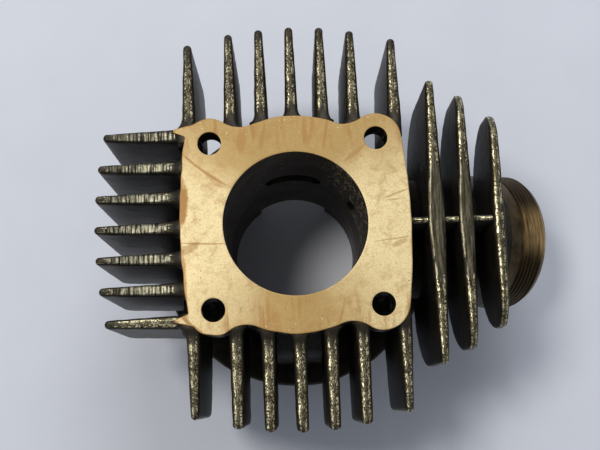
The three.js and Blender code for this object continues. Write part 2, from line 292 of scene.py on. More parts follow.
def rawCasting(name, stretch):  # stretch draws the painted glints out along the fins
    look = {"dark": (0.011, 0.009, 0.007), "brown": (0.038, 0.030, 0.017), "ridge": (0.074, 0.059, 0.025),
            "glint": (1.0, 0.90, 0.56), "scored": (0.012, 0.011, 0.008), "skimmed": (0.170, 0.160, 0.115),
            "softDark": (0.056, 0.048, 0.030), "softPale": (0.205, 0.180, 0.118),
            "blotch": 300, "patch": 700, "grain": 3600, "scoring": (1500, 110, 300), "specular": 0.35,
            "metal": 0.30, "rough": 0.44, "landRough": 0.34, "grainDepth": 0.12 * mm, "castDepth": 0.4 * mm}
    material, tree, shader = newMaterial(name)
    place = objectPlace(tree)
    drawn = objectPlace(tree, scale=stretch)
    blotch = noiseAt(tree, place, look["blotch"], 5, 0.6)
    patch = noiseAt(tree, drawn, look["patch"], 2, 0.5)
    grain = noiseAt(tree, drawn, look["grain"], 2, 0.6)
    wearAndGlint = attribute(tree, "wearAndGlint")
    land = attribute(tree, "land")
    skin = ramp(tree, blotch, (0.35, look["dark"]), (0.7, look["brown"]))
    # partly rubbed metal and partly painted highlight: the ridge colour lightens the fin crests along the
    # glint lines
    skin = mixColour(tree, wearAndGlint, skin, look["ridge"])
    mottle = calc(tree, "ADD", calc(tree, "MULTIPLY", grain, 0.7), calc(tree, "MULTIPLY", patch, 0.3))
    # painted highlight: glint colour sprinkled along the crest lines where the light catches them
    glint = calc(tree, "MULTIPLY", between(tree, mottle, 0.50, 0.57), between(tree, wearAndGlint, 0.2, 0.65))
    colour = mixColour(tree, calc(tree, "MULTIPLY", glint, 0.9), skin, look["glint"])
    streak = noiseAt(tree, objectPlace(tree, scale=look["scoring"]), 1.0, 3, 0.65)
    hard = ramp(tree, streak, (0.44, look["scored"]), (0.60, look["skimmed"]))
    soft = ramp(tree, streak, (0.38, look["softDark"]), (0.64, look["softPale"]))
    scoring = mixColour(tree, between(tree, land, 0.7, 0.9), hard, soft)
    flat = between(tree, land, 0.1, 0.4)
    link(tree, mixColour(tree, flat, colour, scoring), shader, "Base Color")
    metal = calc(tree, "MAXIMUM", calc(tree, "MULTIPLY_ADD", wearAndGlint, 0.55, look["metal"]), flat)
    link(tree, metal, shader, "Metallic")
    shader.inputs["Specular IOR Level"].default_value = look["specular"]
    rough = calc(tree, "MULTIPLY_ADD", wearAndGlint, -0.14, look["rough"])
    link(tree, mixColour(tree, flat, rough, look["landRough"]), shader, "Roughness")
    fine = calc(tree, "MULTIPLY", mottle, calc(tree, "SUBTRACT", 1.0, calc(tree, "MULTIPLY", flat, 0.8)))
    first = bumped(tree, shader, fine, look["grainDepth"], 0.8)
    bumped(tree, shader, blotch, look["castDepth"], 0.6, first)
    return material


stainEdge = {"ragged": 2.2, "outer": 1.5, "inner": 0.45}


def stain(tree, parts, mark, warp):  # how strongly a mark on the face shows; a mark is a bent ellipse
    dx = calc(tree, "SUBTRACT", parts.outputs["X"], mark["x"] * mm)
    dy = calc(tree, "SUBTRACT", parts.outputs["Y"], mark["y"] * mm)
    turn = radians(mark["turn"])
    along = calc(tree, "MULTIPLY_ADD", dx, cos(turn), calc(tree, "MULTIPLY", dy, sin(turn)))
    aside = calc(tree, "MULTIPLY_ADD", dx, -sin(turn), calc(tree, "MULTIPLY", dy, cos(turn)))
    u = calc(tree, "DIVIDE", along, mark["long"] * mm)
    bend = calc(tree, "MULTIPLY", calc(tree, "MULTIPLY", u, u), mark.get("bend", 0) * mm)
    v = calc(tree, "DIVIDE", calc(tree, "SUBTRACT", aside, bend), mark["wide"] * mm)
    far = calc(tree, "ADD", calc(tree, "MULTIPLY", u, u), calc(tree, "MULTIPLY", v, v))
    far = calc(tree, "ADD", far, calc(tree, "MULTIPLY", warp, stainEdge["ragged"]))
    return between(tree, far, stainEdge["outer"], stainEdge["inner"], 0.0, mark["strength"])


def machinedFace():
    look = {"pale": (0.92, 0.755, 0.405), "tan": (0.475, 0.315, 0.105), "brown": (0.40, 0.195, 0.045),
            "pit": (0.16, 0.09, 0.03), "chip": (1.0, 0.90, 0.66), "metal": 0.3, "turning": 700,
            "turningDepth": 0.008 * mm, "mottleDepth": 0.03 * mm, "runs": (460, 60, 1), "tone": 90,
            "warp": 420, "mottle": 1900, "clouds": 330, "pits": 1500, "chips": 1900}
    marks = [
        {"x": -25.3, "y": 15.6, "long": 9.5, "wide": 0.36, "turn": -38, "bend": 0.9, "strength": 0.75},
        {"x": -21.8, "y": 12.6, "long": 4.2, "wide": 0.9, "turn": -38, "bend": 0.4, "strength": 0.4},
        {"x": -26.0, "y": -4.9, "long": 6.8, "wide": 0.26, "turn": -3, "bend": 0.1, "strength": 0.7},
        {"x": -29.6, "y": -6.3, "long": 3.0, "wide": 1.2, "turn": 25, "strength": 0.5},
        {"x": -31.0, "y": 6.6, "long": 6.8, "wide": 1.5, "turn": 88, "bend": 0.4, "strength": 0.95},
        {"x": -31.0, "y": -16.0, "long": 9.5, "wide": 0.8, "turn": 91, "strength": 0.75},
        {"x": -28.6, "y": -27.6, "long": 5.0, "wide": 0.55, "turn": -42, "strength": 0.7},
        {"x": 28.2, "y": -6.6, "long": 2.4, "wide": 0.7, "turn": 20, "strength": 0.45},
        {"x": 26.6, "y": -5.4, "long": 5.0, "wide": 0.2, "turn": 6, "strength": 0.5},
        {"x": 28.5, "y": 7.4, "long": 3.8, "wide": 0.3, "turn": 20, "strength": 0.55},
        {"x": 27.6, "y": 5.6, "long": 2.4, "wide": 0.24, "turn": 4, "strength": 0.5},
        {"x": 17.4, "y": 19.4, "long": 4.4, "wide": 0.7, "turn": 38, "strength": 0.5},
        {"x": 3.4, "y": 26.2, "long": 4.2, "wide": 0.65, "turn": 88, "strength": 0.65},
        {"x": 9.2, "y": 24.8, "long": 4.6, "wide": 0.5, "turn": 80, "strength": 0.65},
        {"x": -8.4, "y": 24.4, "long": 4.0, "wide": 0.6, "turn": 80, "strength": 0.5},
        {"x": -14.2, "y": 24.2, "long": 3.6, "wide": 1.5, "turn": 84, "strength": 0.5},
        {"x": 11.6, "y": -25.4, "long": 4.2, "wide": 0.4, "turn": 74, "strength": 0.45},
        {"x": -6.0, "y": -27.0, "long": 3.6, "wide": 1.1, "turn": 100, "strength": 0.4},
    ]
    material, tree, shader = newMaterial("machinedFace")
    centre = objectPlace(tree, location=(-boreX, 0, 0))
    parts = tree.nodes.new("ShaderNodeSeparateXYZ")
    tree.links.new(centre, parts.inputs["Vector"])
    side = calc(tree, "ABSOLUTE", parts.outputs["X"])
    front = calc(tree, "ABSOLUTE", parts.outputs["Y"])
    # painted highlight: the turned face is lightened to the left and right of the bore and darkened above
    # and below it, the bow-tie sheen of a lamp on turning grooves baked into the colour; cloud noise adds
    # the face's own tone
    share = calc(tree, "DIVIDE", calc(tree, "SUBTRACT", side, front), calc(tree, "ADD", side, front))
    cloud = noiseAt(tree, centre, look["tone"], 4, 0.55, 0.3)
    warp = calc(tree, "SUBTRACT", noiseAt(tree, centre, look["warp"], 4, 0.6, 0.3), 0.5)
    paintedSheenDrift = calc(tree, "MULTIPLY_ADD", calc(tree, "SUBTRACT", cloud, 0.5), 0.7, share)
    # darker towards +Y
    paintedSheenDrift = calc(tree, "ADD", paintedSheenDrift, calc(tree, "MULTIPLY", parts.outputs["Y"], -8.0))
    tone = between(tree, paintedSheenDrift, -0.45, 0.55)
    colour = ramp(tree, tone, (0.0, look["tan"]), (1.0, look["pale"]))
    flow = noiseAt(tree, objectPlace(tree, scale=look["runs"]), 1.0, 4, 0.6, 0.4)
    runs = calc(tree, "MULTIPLY", between(tree, flow, 0.50, 0.68), between(tree, front, 18 * mm, 24 * mm))
    colour = mixColour(tree, calc(tree, "MULTIPLY", runs, 0.75), colour, look["brown"])
    for mark in marks:
        colour = mixColour(tree, stain(tree, parts, mark, warp), colour, look["brown"])
    mottle = noiseAt(tree, centre, look["mottle"], 5, 0.75)
    clouds = noiseAt(tree, centre, look["clouds"], 5, 0.62, 0.5)
    colour = mixColour(tree, between(tree, clouds, 0.46, 0.72, 0.0, 0.42), colour, look["brown"])
    colour = mixColour(tree, between(tree, mottle, 0.40, 0.68, 0.0, 0.34), colour, look["brown"])
    edge = calc(tree, "MULTIPLY_ADD", warp, 1.7, attribute(tree, "rim"))
    leftward = between(tree, parts.outputs["X"], -20 * mm, -28 * mm, 0.45, 0.85)
    rimStain = calc(tree, "MULTIPLY", between(tree, edge, 0.4, 1.0), leftward)
    colour = mixColour(tree, rimStain, colour, look["brown"])
    pits = noiseAt(tree, centre, look["pits"], 1, 0.4)
    frontward = between(tree, parts.outputs["Y"], 12 * mm, -12 * mm, 0.0, 0.018)
    pitted = between(tree, calc(tree, "ADD", pits, frontward), 0.745, 0.78, 0.0, 0.75)
    colour = mixColour(tree, pitted, colour, look["pit"])
    chips = noiseAt(tree, objectPlace(tree, location=(0.05, 0.02, 0)), look["chips"], 1, 0.4)
    outward = between(tree, front, 20 * mm, 29 * mm, 0.0, 0.09)
    chipped = between(tree, calc(tree, "ADD", chips, outward), 0.822, 0.835, 0.0, 0.8)
    colour = mixColour(tree, chipped, colour, look["chip"])
    link(tree, colour, shader, "Base Color")
    shader.inputs["Metallic"].default_value = look["metal"]
    link(tree, between(tree, cloud, 0.3, 0.7, 0.48, 0.6), shader, "Roughness")
    rings = tree.nodes.new("ShaderNodeTexWave")
    rings.wave_type = "RINGS"
    rings.rings_direction = "Z"
    rings.inputs["Scale"].default_value = look["turning"]
    rings.inputs["Distortion"].default_value = 1.5
    tree.links.new(centre, rings.inputs["Vector"])
    first = bumped(tree, shader, rings.outputs["Fac"], look["turningDepth"], 0.4)
    bumped(tree, shader, mottle, look["mottleDepth"], 0.5, first)
    return material


def boreSurface():
    look = {"dark": (0.036, 0.024, 0.014), "oil": (0.074, 0.050, 0.029), "paintedGlint": (1.0, 0.88, 0.60),
            "film": 120, "dust": 1900, "glintDots": 1250, "metal": 0.25, "dustDepth": 0.08 * mm}
    material, tree, shader = newMaterial("boreSurface")
    place = objectPlace(tree)
    film = noiseAt(tree, place, look["film"], 4, 0.6)
    dust = noiseAt(tree, place, look["dust"], 2, 0.5)
    glintDots = noiseAt(tree, place, look["glintDots"], 1, 0.5)
    parts = tree.nodes.new("ShaderNodeSeparateXYZ")
    tree.links.new(place, parts.inputs["Vector"])
    # painted highlight: bright glint dots only on the patch of the right-hand bore wall where the key light
    # falls
    glintPatch = between(tree, parts.outputs["X"], boreX + 2 * mm, boreX + 16 * mm)
    glintPatch = calc(tree, "MULTIPLY", glintPatch, between(tree, parts.outputs["Y"], -14 * mm, 4 * mm))
    glintPatch = calc(tree, "MULTIPLY", glintPatch, between(tree, parts.outputs["Z"], 36 * mm, 56 * mm))
    colour = ramp(tree, film, (0.35, look["dark"]), (0.7, look["oil"]))
    paintedGlint = between(tree, calc(tree, "MULTIPLY_ADD", glintPatch, 0.12, glintDots), 0.735, 0.76)
    link(tree, mixColour(tree, paintedGlint, colour, look["paintedGlint"]), shader, "Base Color")
    shader.inputs["Metallic"].default_value = look["metal"]
    link(tree, between(tree, film, 0.3, 0.7, 0.38, 0.55), shader, "Roughness")
    bumped(tree, shader, dust, look["dustDepth"], 0.6)
    return material


def machinedStub():
    look = {"dark": (0.038, 0.025, 0.012), "band": (0.14, 0.095, 0.045), "dull": (0.12, 0.080, 0.036),
            "bright": (0.50, 0.35, 0.155), "film": 260, "alongRings": 1500.0, "acrossRings": 70.0,
            "toolMarks": 1500, "fade": 0.6 * mm, "metal": 0.75, "toolDepth": 0.06 * mm}
    material, tree, shader = newMaterial("machinedStub")
    place = objectPlace(tree)
    film = noiseAt(tree, place, look["film"], 5, 0.65)
    along = tree.nodes.new("ShaderNodeVectorMath")
    along.operation = "DOT_PRODUCT"
    along.inputs[1].default_value = exhaustDir
    tree.links.new(place, along.inputs[0])
    short = calc(tree, "SUBTRACT", exhaustEnd.dot(exhaustDir), along.outputs["Value"])
    threaded = between(tree, short, thread["length"], thread["length"] - look["fade"])
    shank = ramp(tree, film, (0.3, look["dark"]), (0.72, look["band"]))
    parts = tree.nodes.new("ShaderNodeSeparateXYZ")
    tree.links.new(place, parts.inputs["Vector"])
    # partly the turned metal's own tone and partly painted highlight: dull and bright lines drawn along the
    # thread rings
    ringPlace = tree.nodes.new("ShaderNodeCombineXYZ")
    tree.links.new(calc(tree, "MULTIPLY", short, look["alongRings"]), ringPlace.inputs["X"])
    tree.links.new(calc(tree, "MULTIPLY", parts.outputs["Y"], look["acrossRings"]), ringPlace.inputs["Y"])
    ringToneAndSheen = noiseAt(tree, ringPlace.outputs["Vector"], 1.0, 3, 0.6)
    rings = ramp(tree, ringToneAndSheen, (0.36, look["dull"]), (0.64, look["bright"]))
    # painted shade: the thread darkens away from a lit band along the middle of the stub, so only that band
    # keeps its bright rings
    offMiddle = calc(tree, "ABSOLUTE", calc(tree, "ADD", parts.outputs["Y"], -0.5 * mm))
    paintedShade = between(tree, calc(tree, "MULTIPLY_ADD", film, 5 * mm, offMiddle), 5.5 * mm, 12.5 * mm, 0.0, 0.9)
    rings = mixColour(tree, paintedShade, rings, look["dark"])
    link(tree, mixColour(tree, threaded, shank, rings), shader, "Base Color")
    shader.inputs["Metallic"].default_value = look["metal"]
    link(tree, between(tree, film, 0.3, 0.7, 0.30, 0.46), shader, "Roughness")
    bumped(tree, shader, noiseAt(tree, place, look["toolMarks"], 3, 0.6), look["toolDepth"], 0.6)
    return material


raw = rawCasting("rawCasting", (1, 0.5, 1))
rawCross = rawCasting("rawCastingCross", (0.5, 1, 1))
deckSkin = machinedFace()
boreSkin = boreSurface()
turnedSkin = machinedStub()
print("materials done")


# head deck
deck = {"crown": 30.4 * mm, "lobe": 7.107 * mm, "valley": 8 * mm, "side": 31.9 * mm, "edge": 0.3 * mm,
        "castWave": 0.22 * mm, "waveSize": 5 * mm, "leftWave": 2.2, "leftOf": -20 * mm,
        "spurs": [(-33.2 * mm, 27.0 * mm), (-33.8 * mm, -25.8 * mm)],
        "spurHalf": 1.7 * mm, "spurTip": 0.75, "stainWidth": 0.4 * mm, "boreGap": 0.02 * mm}


def deckQuarter():  # bowed side, round the stud, through the valley and onto the crown
    crown, lobe, valley, side = (deck[key] for key in ("crown", "lobe", "valley", "side"))
    stud = studs["offset"]
    apart = stud * sqrt(2)
    along = ((crown + valley) ** 2 - (lobe + valley) ** 2 + apart ** 2) / (2 * apart)
    off = sqrt((crown + valley) ** 2 - along ** 2)
    vx, vy = (along - off) / sqrt(2), (along + off) / sqrt(2)
    bow = side - stud
    bowRadius = (bow ** 2 + stud ** 2 - lobe ** 2) / (2 * (bow - lobe))
    bowAngle = atan2(stud, bowRadius - bow)
    lobeEnd = atan2(vy - stud, vx - stud)
    crownStart = atan2(vy, vx)
    return (arc(side - bowRadius, 0, bowRadius, 0, bowAngle, 22)
            + arc(stud, stud, lobe, bowAngle, lobeEnd, 44)[1:]
            + arc(vx, vy, valley, lobeEnd + pi, crownStart + pi, 12)[1:]
            + arc(0, 0, crown, crownStart, pi / 2, 16)[1:])


def deckOutline():
    quarter = deckQuarter()
    whole = []
    for signX, signY, back in ((1, 1, False), (-1, 1, True), (-1, -1, False), (1, -1, True)):
        turn = [(signX * x, signY * y) for x, y in quarter]
        whole += (turn[::-1] if back else turn)[:-1]
    return whole


def deckEdge(offset):  # how far the deck reaches in Y at that distance beside the bore axis
    quarter = deckQuarter()
    best = deck["crown"]
    for (x0, y0), (x1, y1) in zip(quarter, quarter[1:]):
        if min(x0, x1) <= abs(offset) <= max(x0, x1) and y0 > 10 * mm and abs(x1 - x0) > 1e-9:
            best = lerp(y0, y1, (abs(offset) - x0) / (x1 - x0))
    return best


def buildDeck():
    outline = []
    for x, y in deckOutline():
        leftSide = x < deck["leftOf"]
        wave = deck["castWave"] * (deck["leftWave"] if leftSide else 1)
        push = wobble((x, y, 0), deck["waveSize"], wave, 1)
        far = hypot(x, y)
        x, y = x * (1 + push / far), y * (1 + push / far)
        for tipX, tipY in deck["spurs"]:
            near = max(0, 1 - abs(y - tipY) / deck["spurHalf"])
            if leftSide and near > 0:
                x = lerp(x, tipX, min(1, near / deck["spurTip"]))
        outline.append((boreX + x, y))
    mouth = arc(boreX, 0, bore["radius"] + deck["boreGap"], 0, 2 * pi, bore["steps"])[:-1]
    bm = flatPlate([outline, mouth] + studHoles(), deckTop, deckUnder)
    bevelEdges(bm, rimEdges(bm, deckTop) + rimEdges(bm, deckUnder), deck["edge"])
    lid = [f for f in bm.faces if f.normal.z > 0.99 and f.calc_center_median().z > deckTop - 0.05 * mm]
    bmesh.ops.inset_region(bm, faces=lid, thickness=deck["stainWidth"], use_even_offset=False,
                           use_boundary=True)
    rim = bm.verts.layers.float.new("rim")
    for vert in bm.verts:
        x, y = vert.co.x - boreX, vert.co.y
        atStud = hypot(abs(x) - studs["offset"], abs(y) - studs["offset"]) < studs["radius"] + 1 * mm
        flat = all(f.normal.z > 0.99 for f in vert.link_faces)
        vert[rim] = 0 if flat or atStud or hypot(x, y) < bore["radius"] + 2 * mm else 1
    for item in bm.faces:
        middle = item.calc_center_median()
        if item.normal.z > 0.6:
            item.material_index = 0
        elif hypot(middle.x - boreX, middle.y) < bore["radius"] + 1 * mm:
            item.material_index = 2
        else:
            item.material_index = 1
    finish("headDeck", bm, [deckSkin, raw, boreSkin], "head_deck", sharp=50)


buildDeck()
print("deck done")


# cooling fins
fins = {"edge": 1.1 * mm, "tipHalf": 1.1 * mm, "frontTipHalf": 1.6 * mm, "corner": 4.5 * mm,
        "shoulder": 1.2 * mm, "flare": 2.6 * mm, "flareShare": 0.5, "web": 6.5 * mm, "webShare": 0.8,
        "webAt": 25.6 * mm, "rise": 0.7 * mm, "riseHeight": 3 * mm, "riseReach": 3.2 * mm,
        "inside": 1.2 * mm, "underDeck": 3.5 * mm, "turnBelow": 3 * mm, "turnAbove": 1 * mm,
        "outerRoot": 18 * mm, "rootGap": 0.5 * mm, "sideTaper": 30 * mm, "leftTaper": 34 * mm,
        "middleColumns": 24, "middleRows": 22, "wave": 0.11 * mm, "waveSize": 2.6 * mm,
        "roughReach": 1.2 * mm, "underTop": 0.1 * mm,
        "landDrop": 0.5 * mm, "softLand": 0.6, "landReach": 19 * mm, "landFrom": 21 * mm, "landTo": 2.5 * mm}
edgeSteps = [0, 0.03, 0.12, 0.29, 0.6, 1.0]
flareSteps = [-1.0, 0, 0.1, 0.22, 0.38, 0.6, 0.85, 1.0]


def roundHalf(distance):  # share of the full thickness at that distance in from a rounded edge
    t = min(1, max(0, distance / fins["edge"]))
    return sqrt(1 - (1 - t) ** 2)


def edgeRough(u, z, seed, layer, rim):  # unevenness of a cast edge, which fades out further in
    fade = 1 - smooth(0, fins["roughReach"], rim)
    return wobble((u, z, seed * mm), fins["waveSize"] * 0.6, fins["wave"], layer) * fade


def plateShare(z):  # nought well under the deck plate and one above its lower face
    return smooth(deckUnder - fins["turnBelow"], deckUnder + fins["turnAbove"], z)


def crestGlintLines(rim):  # painted highlight: two bright lines beside the middle of a rounded edge, where light catches the crest
    share = roundHalf(rim)
    return max(0.35 * (1 - smooth(0.2, 0.6, share)), 1 - abs(share - 0.475) / 0.3, 0)


def heights(low, high):
    edge = fins["edge"]
    inner = [lerp(low + edge, high - edge, i / fins["middleRows"]) for i in range(1, fins["middleRows"])]
    return [low + edge * s for s in edgeSteps] + inner + [high - edge * s for s in reversed(edgeSteps)]


def finBody(name, node, rootAt, tip, low, high, half, toWorld, skin, seed, taperFrom, tipGlint,
            tipHalf=fins["tipHalf"], landRange=None, webSide=0, plainSide=0):
    edge = fins["edge"]
    rows = heights(low, high)

    def reach(z):  # where the rounded lower corner and the shoulder leave the tip
        r, s = fins["corner"], fins["shoulder"]
        if z < low + r:
            return tip - r + sqrt(max(0, r * r - (low + r - z) ** 2))
        if z > high - s:
            return tip - s + sqrt(max(0, s * s - (z - high + s) ** 2))
        return tip

    def stations(z):
        root, end = rootAt(z), reach(z)
        hidden = lerp(fins["inside"], fins["underDeck"], smooth(deckUnder, deckUnder + 2 * mm, z))
        first = [root + (hidden if s < 0 else fins["flare"]) * s for s in flareSteps]
        start = first[-1]
        stop = end - edge
        middle = [lerp(start, stop, i / fins["middleColumns"]) for i in range(1, fins["middleColumns"])]
        return first + middle + [end - edge * s for s in reversed(edgeSteps)]

    table = [stations(z) for z in rows]

    def spot(column, row, side):
        z = rows[row]
        u = table[row][column]
        end = reach(z)
        rim = min(end - u, z - low, high - z)
        full = lerp(half, tipHalf, min(1, max(0, (u - taperFrom) / (tip - taperFrom))))
        out = max(0, u - rootAt(z))
        flare = fins["flare"]
        if out < flare and side != plainSide:
            full += fins["flareShare"] * (flare - sqrt(flare ** 2 - (flare - out) ** 2))
        web = fins["web"]
        if side == webSide and 0 < u - fins["webAt"] < web:
            full += fins["webShare"] * (web - sqrt(web ** 2 - (web - u + fins["webAt"]) ** 2))
        across = side * full * roundHalf(rim)
        across += wobble((u, z, seed * 10 * mm), fins["waveSize"], fins["wave"], side) * roundHalf(rim)
        nearTop = smooth(high - fins["riseHeight"], high, z)
        lift = fins["rise"] * nearTop * (1 - smooth(0, fins["riseReach"], out))
        rough = edgeRough(u, z, seed, 4, rim)
        uu = u + (rough if end - u < fins["roughReach"] else 0)
        zz = z + lift + (rough if min(z - low, high - z) < fins["roughReach"] else 0)
        skimmed = 0
        if landRange:
            apart = (2 * u - landRange[0] - landRange[1]) / (landRange[1] - landRange[0])
            level = high - fins["landDrop"] * (1 - apart * apart)
            if abs(apart) < 1 and zz > level:
                zz = level
                skimmed = fins["softLand"]
        # the painted glint lines and lighter crest fade towards the tips of the back fins and near the
        # roots, so those parts stay darker
        wornAndGlinting = crestGlintLines(rim) * lerp(tipGlint, 1, smooth(0.5 * mm, 5 * mm, end - u))
        wornAndGlinting *= lerp(0.25, 1, smooth(0.6 * flare, 2.4 * flare, out))
        wornAndGlinting = 0 if skimmed else wornAndGlinting
        return toWorld(min(uu, tip), across, min(max(zz, low), deckTop - fins["underTop"])), wornAndGlinting, skimmed

    bm = sheetBody(len(table[0]) - 1, len(rows) - 1, spot)
    finish(name, bm, [skin], node, sharp=70)


def sideFins():
    for word, sign, tipGlint in (("back", 1, 0.35), ("front", -1, 0.8)):
        for number in range(1, 8):
            node = f"fin_{word}_{number}"
            low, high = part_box(node)
            at = (low[0] + high[0]) / 2
            half = (high[0] - low[0]) / 2
            tip = high[1] if sign > 0 else -low[1]
            beside = abs(at - boreX)
            edgeOfDeck = deckEdge(beside)
            start = fins["outerRoot"]
            if beside <= wallRadius:
                start = sqrt(wallRadius ** 2 - beside ** 2) - fins["rootGap"]

            def rootAt(z, start=start, edgeOfDeck=edgeOfDeck):
                return lerp(start, edgeOfDeck, plateShare(z))

            def toWorld(u, v, z, at=at, sign=sign):
                return (at - sign * v, sign * u, z)

            thickTip = word == "front" and 1 < number < 7
            name = f"fin{word.capitalize()}{number}"
            finBody(name, node, rootAt, tip, low[2], high[2], half, toWorld, raw,
                    seed=number + 10 * sign, taperFrom=fins["sideTaper"], tipGlint=tipGlint,
                    tipHalf=fins["frontTipHalf" if thickTip else "tipHalf"],
                    webSide=sign if number == 1 else 0, plainSide=-sign if number == 7 else 0)


def leftFins():
    for number in range(1, 8):
        node = f"fin_left_{number}"
        low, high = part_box(node)
        at = (low[1] + high[1]) / 2
        half = (high[1] - low[1]) / 2
        tip = boreX - low[0]
        wallSide = boreX - high[0] - 0.4 * mm
        bowedSide = deck["side"] - 0.3 * mm - 1.5 * mm * (at / studs["offset"]) ** 2

        def rootAt(z, wallSide=wallSide, bowedSide=bowedSide):
            return lerp(wallSide, bowedSide, plateShare(z))

        def toWorld(u, v, z, at=at):
            return (boreX - u, at - v, z)

        finBody(f"finLeft{number}", node, rootAt, tip, low[2], high[2], half, toWorld, rawCross,
                seed=number + 30, taperFrom=fins["leftTaper"], tipGlint=0.4,
                landRange=(tip - fins["landFrom"], tip - fins["landTo"]) if number < 7 else None)


sideFins()
leftFins()
print("cooling fins done")


# exhaust axis, stub and duct
exhaust = {"passage": 14 * mm, "ductRoot": 17.9 * mm, "ductEnd": 20.9 * mm, "stubLength": 13.5 * mm,
           "length": 54 * mm, "steps": 96}
exhaustUp = Vector((-exhaustDir.z, 0, exhaustDir.x))


def alongExhaust(bm):  # local Z becomes the exhaust axis, local X points up from it
    turn = Matrix((exhaustUp, Vector((0, -1, 0)), exhaustDir)).transposed().to_4x4()
    start = exhaustEnd - exhaustDir * exhaust["length"]
    bmesh.ops.transform(bm, matrix=Matrix.Translation(start) @ turn, verts=bm.verts[:])
    bmesh.ops.recalc_face_normals(bm, faces=bm.faces[:])
    return bm


def axisHeight(x):
    return exhaustEnd.z + (x - exhaustEnd.x) * exhaustDir.z / exhaustDir.x


def buildStub():
    end = exhaust["length"]
    start = end - exhaust["stubLength"]
    threadStart = end - thread["length"]
    passage, shank, edge, flat = exhaust["passage"], thread["shank"], thread["edge"], thread["flat"]
    profile = [(passage, start), (shank - edge, start), (shank, start + edge),
               (shank, threadStart - 0.5 * mm)]
    crest, root = thread["outer"], thread["outer"] - thread["depth"]
    for i in range(int(thread["length"] / thread["pitch"])):
        z = threadStart + i * thread["pitch"]
        slope = z + flat + thread["rise"]
        profile += [(root, z), (root, z + flat), (crest, slope), (crest, slope + flat)]
    nose = crest - thread["chamfer"]
    mouth, seat = thread["mouth"], end - thread["mouthDepth"]
    profile += [(nose, end - 0.05 * mm), (nose - edge, end), (mouth + edge, end), (mouth, end - edge),
                (mouth, seat), (passage + 0.2 * mm, seat), (passage, seat - 0.2 * mm)]
    bm = alongExhaust(spun(profile, exhaust["steps"]))
    finish("exhaustStub", bm, [turnedSkin], "exhaust_stub", sharp=30)


def buildDuct():
    duct = {"rings": 14, "plainFrom": 12 * mm, "slideBelow": 11 * mm, "intoStub": 0.4 * mm,
            "intoWall": 1 * mm, "waveSize": 6 * mm, "wave": 0.2 * mm}
    end = exhaust["length"] - exhaust["stubLength"] + duct["intoStub"]
    root, passage, rings = exhaust["ductRoot"], exhaust["passage"], duct["rings"]
    plain = [(lerp(root, exhaust["ductEnd"], smooth(0, 1, i / rings)),
              lerp(duct["plainFrom"], end, i / rings)) for i in range(rings + 1)]
    flareRings = [(root + 2.4 * mm, 0), (root + 1.1 * mm, 1.0 * mm), (root + 0.3 * mm, 3 * mm)]
    profile = flareRings + plain + [(passage, end), (passage, 6 * mm), (passage, 0)]
    bm = spun(profile, exhaust["steps"])
    wallSkin = wallRadius - duct["intoWall"]
    for vert in bm.verts:  # the root rings slide along the axis until they meet the round wall
        if vert.co.z < duct["slideBelow"]:
            skin = sqrt(wallSkin ** 2 - min(vert.co.y ** 2, (wallSkin * 0.97) ** 2))
            vert.co.z += (skin - bore["radius"] - vert.co.x * exhaustUp.x) / exhaustDir.x
        else:
            vert.co.z += wobble(vert.co, duct["waveSize"], duct["wave"], 3)
    alongExhaust(bm)
    finish("exhaustDuct", bm, [raw], "exhaust_duct", sharp=60)


buildStub()
buildDuct()
print("exhaust done")


# exhaust fins and the ribs between them
def exhaustFins():
    shapes = {"inner": {"straight": 26 * mm, "foot": 23 * mm, "shoulder": 2 * mm, "land": True},
              "middle": {"straight": 11 * mm, "foot": 18 * mm, "shoulder": 6 * mm, "land": True},
              "outer": {"straight": 9 * mm, "foot": 13 * mm, "shoulder": 8.5 * mm, "land": False}}
    edge = fins["edge"]
    inner = exhaust["ductRoot"] - 1.2 * mm  # just under the duct's skin
    for number, (word, shape) in enumerate(shapes.items()):
        node = f"fin_exhaust_{word}"
        low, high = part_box(node)
        at = (low[0] + high[0]) / 2
        middleHalf = (high[0] - low[0]) / 2
        half = (high[1] - low[1]) / 2
        bottom, top = low[2], high[2]
        foot, shoulder = shape["foot"], shape["shoulder"]
        bendHigh = top - shape["straight"]

        def lower(y, at=at, foot=foot, bendHigh=bendHigh, bottom=bottom, half=half):
            y = abs(y)
            if y < inner:
                return max(bottom, axisHeight(at) + sqrt(inner ** 2 - y ** 2) / exhaustDir.x)
            share = min(1, max(0, (y - foot) / (half - foot)))
            return bendHigh - (bendHigh - bottom) * sqrt(1 - share ** 2)

        def upper(y, half=half, shoulder=shoulder, top=top):
            over = abs(y) - (half - shoulder)
            return top if over < 0 else top - shoulder + sqrt(max(0, shoulder ** 2 - over ** 2))

        right = ([lerp(0, inner * 0.96, i / 14) for i in range(15)] + [inner - 0.01 * mm, inner + 0.01 * mm]
                 + [lerp(inner + 0.5 * mm, half - edge, i / 18) for i in range(18)]
                 + [half - edge * s for s in reversed(edgeSteps)])
        across = [-y for y in reversed(right[1:])] + right

        def spot(column, row, side, across=across, lower=lower, upper=upper, at=at, half=half,
                 middleHalf=middleHalf, top=top, number=number, land=shape["land"]):
            y = across[column]
            z = heights(lower(y), upper(y))[row]
            rim = min(half - abs(y), z - lower(y), upper(y) - z)
            full = lerp(middleHalf, fins["tipHalf"], abs(y) / half)
            thick = side * full * roundHalf(rim)
            thick += wobble((y, z, number * 11 * mm), fins["waveSize"], fins["wave"], side) * roundHalf(rim)
            rough = abs(edgeRough(y, z, number, 5, rim))
            zz = z + rough if z - lower(y) < upper(y) - z else z - rough
            skimmed = 0
            apart = y / fins["landReach"]
            level = top - fins["landDrop"] * (1 - apart * apart)
            if land and abs(apart) < 1 and zz > level:
                zz = level
                skimmed = 1
            wornAndGlinting = 0 if skimmed else crestGlintLines(rim)
            return (at + thick, y, zz), wornAndGlinting, skimmed

        bm = sheetBody(len(across) - 1, len(heights(0, 1)) - 1, spot)
        finish(f"finExhaust{word.capitalize()}", bm, [raw], node, sharp=70)


